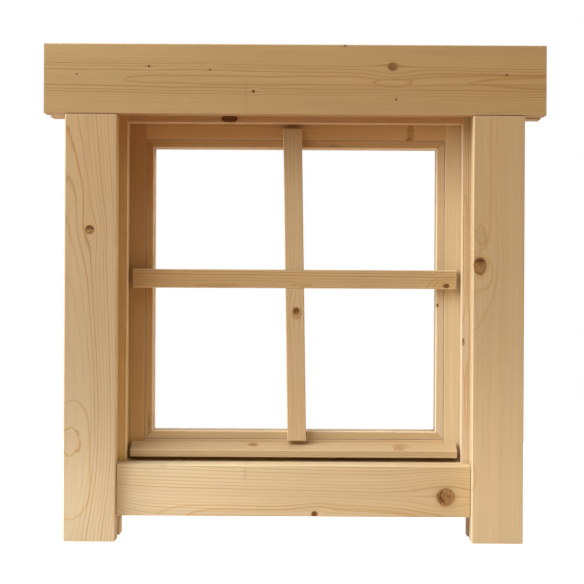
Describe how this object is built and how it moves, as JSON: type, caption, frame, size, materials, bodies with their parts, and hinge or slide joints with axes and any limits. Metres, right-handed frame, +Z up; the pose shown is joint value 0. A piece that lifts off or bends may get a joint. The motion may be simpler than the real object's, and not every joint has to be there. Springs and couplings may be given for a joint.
{
  "type": "shed window",
  "caption": "Square timber shed window with thick trim boards that clasp the wall, and an inward-opening glazed sash with crossed glazing bars and a drip rail.",
  "frame": {"origin": "middle of the wall slot's width and of the window's length, level with the lower ends of the stiles", "axes": "+X along the wall, to the right as seen from outside; +Y through the wall from outside to inside; +Z up"},
  "size_m": [0.684, 0.148, 0.678],
  "materials": {
    "spruce": "planed, untreated",
    "knob_wood": "turned, untreated",
    "clear_glass": "clear float glass",
    "zinc_steel": "bright zinc plated",
    "seal_rubber": "matt",
    "block_plastic": "moulded"
  },
  "bodies": {
    "frame": {"frame_head": "spruce", "frame_jamb_left": "spruce", "frame_jamb_right": "spruce", "frame_sill": "spruce", "front_apron": "spruce", "front_header": "spruce", "front_stile_left": "spruce", "front_stile_right": "spruce", "front_trim_screws": "zinc_steel", "hinge_frame_screws": "zinc_steel", "hinge_lower_frame_leaf": "zinc_steel", "hinge_lower_pin": "zinc_steel", "hinge_upper_frame_leaf": "zinc_steel", "hinge_upper_pin": "zinc_steel", "rear_apron": "spruce", "rear_header": "spruce", "rear_stile_left": "spruce", "rear_stile_right": "spruce", "rear_trim_screws": "zinc_steel", "turn_button_pivots": "zinc_steel", "turn_button_washers": "zinc_steel", "weather_seal": "seal_rubber"},
    "sash": {"bead_bottom": "spruce", "bead_left": "spruce", "bead_right": "spruce", "bead_top": "spruce", "drip_rail": "spruce", "glass_pane": "clear_glass", "glazing_bar_cross": "spruce", "glazing_bar_upright": "spruce", "glazing_seal": "seal_rubber", "hinge_lower_sash_leaf": "zinc_steel", "hinge_sash_screws": "zinc_steel", "hinge_upper_sash_leaf": "zinc_steel", "pull_knob": "knob_wood", "pull_knob_stud": "zinc_steel", "sash_bottom_rail": "spruce", "sash_stile_left": "spruce", "sash_stile_right": "spruce", "sash_top_rail": "spruce", "setting_blocks": "block_plastic"},
    "turn_button_lower": {"turn_button_lower": "zinc_steel"},
    "turn_button_upper": {"turn_button_upper": "zinc_steel"}
  },
  "joints": [
    {"name": "sash_swing", "type": "hinge", "parent": "frame", "child": "sash", "pos_m": [-0.2415, 0.06455, 0.34], "axis": [0, 0, 1], "range_deg": [0, 170]},
    {"name": "turn_button_lower_turn", "type": "hinge", "parent": "frame", "child": "turn_button_lower", "pos_m": [0.262, 0.0612, 0.19298], "axis": [0, 1, 0], "continuous": true},
    {"name": "turn_button_upper_turn", "type": "hinge", "parent": "frame", "child": "turn_button_upper", "pos_m": [0.262, 0.0612, 0.485], "axis": [0, 1, 0], "continuous": true}
  ]
}
